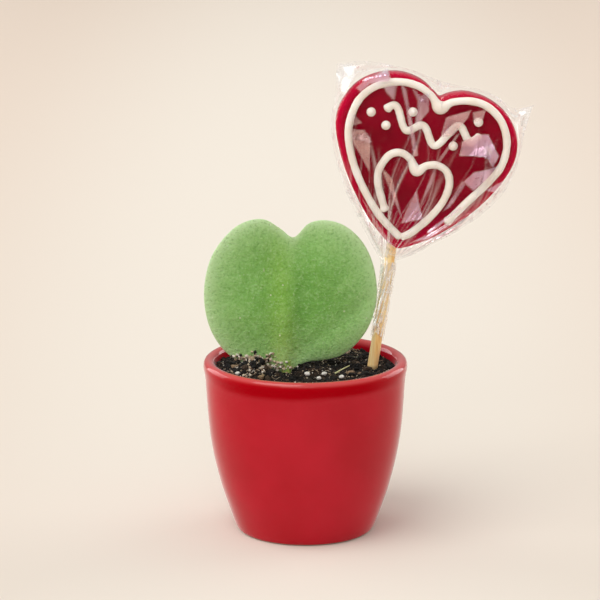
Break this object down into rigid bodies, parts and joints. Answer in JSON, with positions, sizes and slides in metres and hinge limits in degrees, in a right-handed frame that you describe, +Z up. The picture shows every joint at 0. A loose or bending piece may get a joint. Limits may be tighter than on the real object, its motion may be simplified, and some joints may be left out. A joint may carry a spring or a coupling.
{
  "type": "potted hoya plant",
  "caption": "Thick heart-shaped hoya leaf growing from soil in a round red glazed pot, with a wrapped heart lollipop on a wooden stick pushed into the soil.",
  "frame": {"origin": "centre of the pot's flat foot, on the pot's axis, on the surface that it stands on", "axes": "+Z up along the pot's axis; the leaf's face and the iced face of the lollipop look towards -Y; +X to the right, where the lollipop stands"},
  "size_m": [0.1277, 0.08, 0.1858],
  "materials": {
    "red_glaze": "glossy fired glaze",
    "potting_soil": "loose dark potting mix",
    "leaf_green": "thick waxy leaf with a faint bloom",
    "stick_wood": "bare pale wood",
    "red_sugar": "glossy boiled sugar",
    "cream_icing": "set royal icing",
    "clear_film": "thin clear crinkled film",
    "clear_tape": "clear adhesive tape",
    "perlite": "light porous grains",
    "bark": "rough broken bark",
    "straw": "dry plant fibre"
  },
  "bodies": {
    "root": {"pot": "red_glaze", "soil": "potting_soil", "hoya_leaf": "leaf_green", "lollipop_stick": "stick_wood", "candy_heart": "red_sugar", "icing_outline": "cream_icing", "icing_inner_heart": "cream_icing", "icing_wave": "cream_icing", "icing_dot_1": "cream_icing", "icing_dot_2": "cream_icing", "icing_dot_3": "cream_icing", "icing_dot_4": "cream_icing", "icing_dot_5": "cream_icing", "icing_dot_6": "cream_icing", "film_bag": "clear_film", "tape": "clear_tape", "perlite_1": "perlite", "perlite_2": "perlite", "perlite_3": "perlite", "perlite_4": "perlite", "perlite_5": "perlite", "bark_chip_1": "bark", "bark_chip_2": "bark", "bark_chip_3": "bark", "bark_chip_4": "bark", "straw": "straw"}
  },
  "joints": []
}
